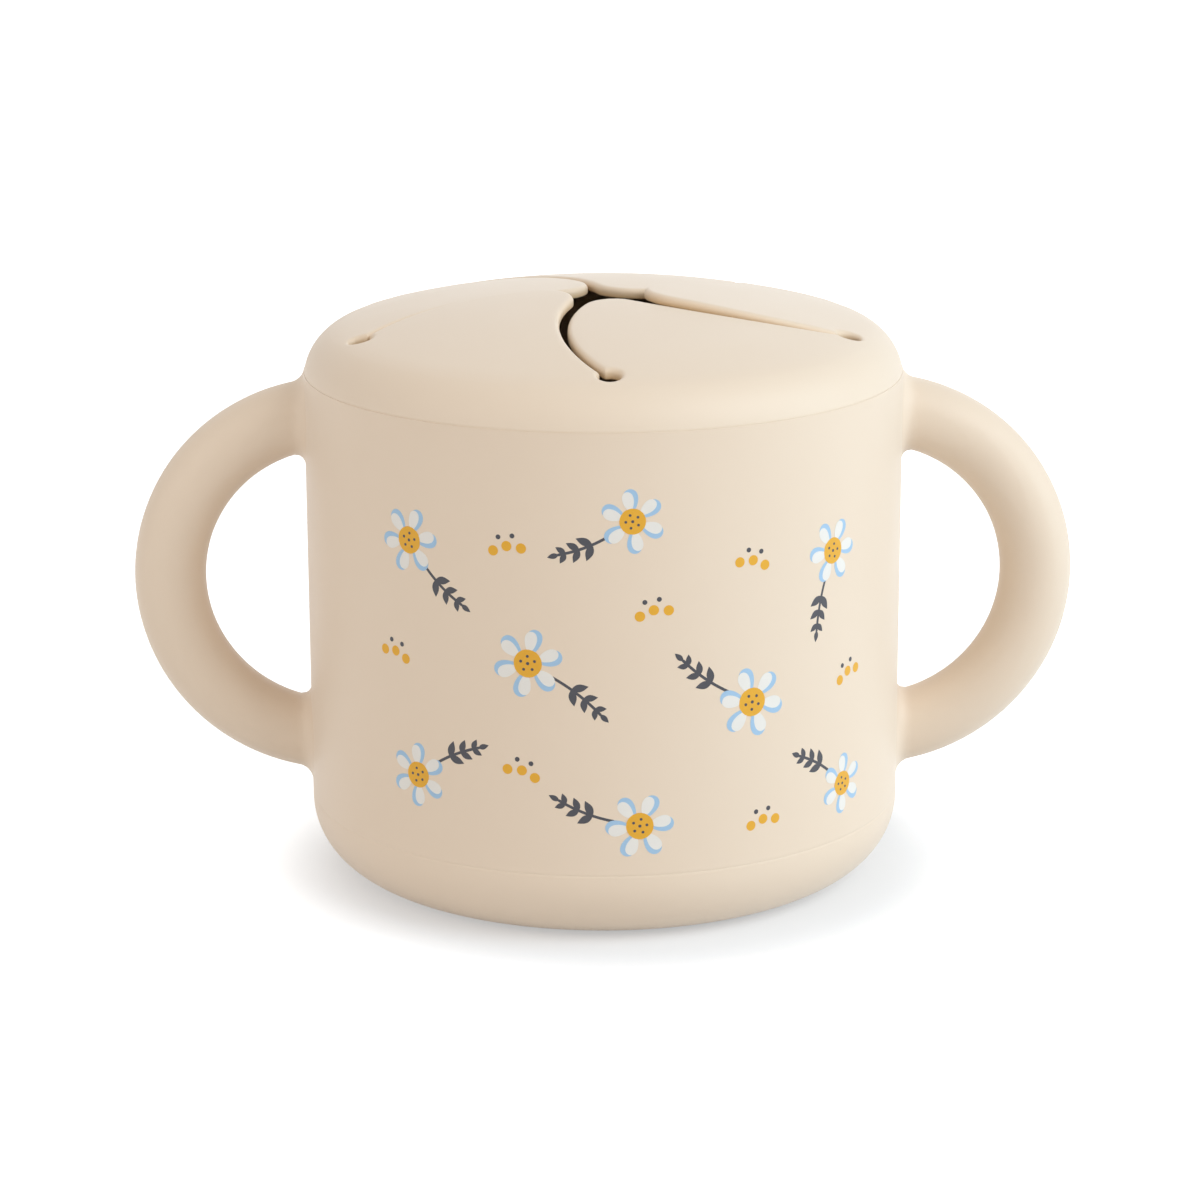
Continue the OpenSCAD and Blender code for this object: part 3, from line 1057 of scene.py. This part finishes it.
# way round, height, turn
BERRIES = ((-15, 60, 8), (21, 57, -12), (-34, 42, -10), (6, 51, 10), (40, 37, 14),
           (-13, 27, -14), (23, 18, 6))
for flower in DAISIES:
    daisy(*flower)
for group in BERRIES:
    berries(*group)
print("shapes of each ink:", len(dark), "dark,", len(blue), "blue,", len(white), "white,",
      len(gold), "gold")

print_film("print_sprigs", dark, CHARCOAL)
print_film("print_petal_edges", blue, PALE_BLUE)
print_film("print_petals", white, OFF_WHITE)
print_film("print_centres", gold, MUSTARD)

# %% [markdown]
# ## Floor, backdrop and light
# The picture is a cut-out on white with a faint shadow under the cup. The
# floor is a pale diffuse sheet. Where the camera looks at it, part of its
# brightness comes from emission, so open floor is white while the shadow
# stays a light grey. Close to the cup's foot the emission is weaker, which
# paints a soft contact shadow round the foot. The world is white for the
# camera and soft and even for everything else.

# %% The floor
def seen_directly(nodes, links):
    """1 for rays from the camera, and for mirror or glass rays; 0 for soft light."""
    path = nodes.new("ShaderNodeLightPath")
    total = path.outputs["Is Camera Ray"]
    for kind in ("Is Glossy Ray", "Is Transmission Ray"):
        add = nodes.new("ShaderNodeMath")
        add.operation = "MAXIMUM"
        links.new(total, add.inputs[0])
        links.new(path.outputs[kind], add.inputs[1])
        total = add.outputs[0]
    return total


sheet, nodes, links = new_material("floor_sheet")
nodes.clear()
output = nodes.new("ShaderNodeOutputMaterial")
seen = seen_directly(nodes, links)
plain = nodes.new("ShaderNodeBsdfDiffuse")
plain.inputs["Color"].default_value = (0.78, 0.78, 0.78, 1)
faint = nodes.new("ShaderNodeBsdfDiffuse")
faint.inputs["Color"].default_value = (0.50, 0.515, 0.535, 1)

# painted shadow: the glow is weak close to the cup's foot and grows outwards, which paints a soft
# contact shadow round the foot
place = nodes.new("ShaderNodeTexCoord")
reach = nodes.new("ShaderNodeVectorMath")
reach.operation = "LENGTH"
painted_contact_shadow = nodes.new("ShaderNodeMapRange")
painted_contact_shadow.interpolation_type = "SMOOTHSTEP"
painted_contact_shadow.inputs["From Min"].default_value = 0.040
painted_contact_shadow.inputs["From Max"].default_value = 0.066
painted_contact_shadow.inputs["To Min"].default_value = 0.42
painted_contact_shadow.inputs["To Max"].default_value = 1.0
glow = nodes.new("ShaderNodeEmission")
links.new(place.outputs["Object"], reach.inputs[0])
links.new(reach.outputs["Value"], painted_contact_shadow.inputs["Value"])
links.new(painted_contact_shadow.outputs["Result"], glow.inputs["Strength"])

white_floor = nodes.new("ShaderNodeAddShader")
choose = nodes.new("ShaderNodeMixShader")
links.new(faint.outputs[0], white_floor.inputs[0])
links.new(glow.outputs[0], white_floor.inputs[1])
links.new(seen, choose.inputs[0])
links.new(plain.outputs[0], choose.inputs[1])
links.new(white_floor.outputs[0], choose.inputs[2])
links.new(choose.outputs[0], output.inputs["Surface"])

# a hair below the cup's foot, so that the two faces don't lie in each other; its centre, and with
# it the middle of the painted contact shadow, lies a few millimetres off the axis
bpy.ops.mesh.primitive_plane_add(size=6, location=(0.003, -0.004, -0.00005))
floor = bpy.context.object
floor.name = "floor"
floor.data.materials.append(sheet)
floor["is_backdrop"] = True
print("floor:", [round(v, 2) for v in floor.dimensions], "m")

# %% The world
world = bpy.data.worlds.new("studio")
bpy.context.scene.world = world
world.use_nodes = True
nodes, links = world.node_tree.nodes, world.node_tree.links
nodes.clear()
output = nodes.new("ShaderNodeOutputWorld")
white_sky = nodes.new("ShaderNodeBackground")
white_sky.inputs["Color"].default_value = (1, 1, 1, 1)
soft_sky = nodes.new("ShaderNodeBackground")
soft_sky.inputs["Color"].default_value = (1.0, 0.962, 0.926, 1)
soft_sky.inputs["Strength"].default_value = 0.57
choose = nodes.new("ShaderNodeMixShader")
links.new(seen_directly(nodes, links), choose.inputs[0])
links.new(soft_sky.outputs[0], choose.inputs[1])
links.new(white_sky.outputs[0], choose.inputs[2])
links.new(choose.outputs[0], output.inputs["Surface"])
print("world:", world.name, "of strength", round(soft_sky.inputs["Strength"].default_value, 2))

# %% Soft boxes
AIM = Vector((0, 0, 0.05))


def soft_box(name, place, size, watts, tint):
    """A rectangular lamp that faces the cup, with its place and size in metres."""
    light = bpy.data.lights.new(name, "AREA")
    light.shape = "RECTANGLE"
    light.size, light.size_y = size
    light.energy = watts
    light.color = tint
    lamp = bpy.data.objects.new(name, light)
    lamp.location = place
    to_cup = AIM - Vector(place)
    lamp.rotation_euler = to_cup.to_track_quat("-Z", "Y").to_euler()
    bpy.context.scene.collection.objects.link(lamp)
    print(f"{name}: {watts} W, {to_cup.length:.2f} m from the cup")


soft_box("key_box", (0.75, -0.55, 0.75), (0.7, 0.7), 5.5, (0.935, 0.975, 1.0))
soft_box("side_box", (1.0, -0.15, 0.35), (0.6, 0.9), 4.2, (0.61, 0.845, 1.0))
soft_box("left_box", (-0.9, -0.5, 0.4), (0.7, 0.7), 2.1, (1.0, 0.925, 0.84))
soft_box("back_box", (0.2, 1.0, 0.35), (0.7, 0.7), 0.8, (0.90, 0.95, 1.0))

bpy.context.scene.view_settings.view_transform = "Standard"

# %% [markdown]
# ## A last look at the size
# The visual model has to fill the same box as the CAD model.

# %% Size
visual_box = [list(corner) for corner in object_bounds()]
for name, before, now in zip(("low corner", "high corner"), cad_box, visual_box):
    print(name, "CAD", [round(1000 * v, 2) for v in before],
          "visual", [round(1000 * v, 2) for v in now])
